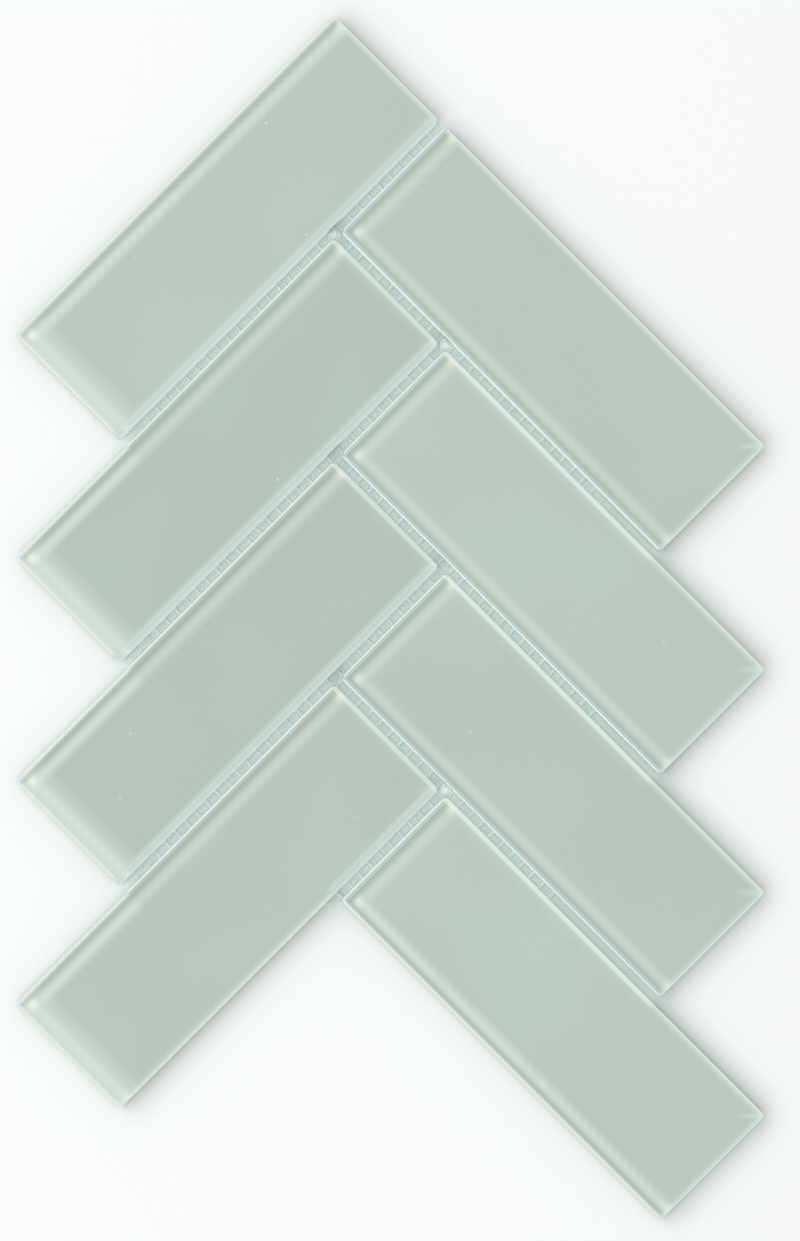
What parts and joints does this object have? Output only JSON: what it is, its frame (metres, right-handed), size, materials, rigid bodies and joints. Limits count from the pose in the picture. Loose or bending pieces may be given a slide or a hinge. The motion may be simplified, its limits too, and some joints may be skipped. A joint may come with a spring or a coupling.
{
  "type": "herringbone glass tile sheet",
  "caption": "Sheet of glossy sage-green glass tiles laid in a herringbone chevron, held from behind by an open glass-fibre net with grout joints between the tiles.",
  "frame": {"origin": "below the middle of the sheet, on the surface that the net lies on", "axes": "+Z out of the glossy face, +Y to the top of the sheet as it hangs on a wall, +X to the right seen from the front"},
  "size_m": [0.2464, 0.3964, 0.0086],
  "materials": {
    "sage_glass": "polished clear glass over a fired sage-green back coat, so it reads as opaque",
    "fibre_net": "coated glass-fibre yarn, matt",
    "adhesive": "set whitish adhesive, satin"
  },
  "bodies": {
    "root": {"glass_tile_left_1": "sage_glass", "glass_tile_left_2": "sage_glass", "glass_tile_left_3": "sage_glass", "glass_tile_left_4": "sage_glass", "glass_tile_right_1": "sage_glass", "glass_tile_right_2": "sage_glass", "glass_tile_right_3": "sage_glass", "glass_tile_right_4": "sage_glass", "mesh_weft_yarns": "fibre_net", "mesh_warp_yarns": "fibre_net", "adhesive_dab_1": "adhesive", "adhesive_dab_2": "adhesive", "adhesive_dab_3": "adhesive"}
  },
  "joints": []
}
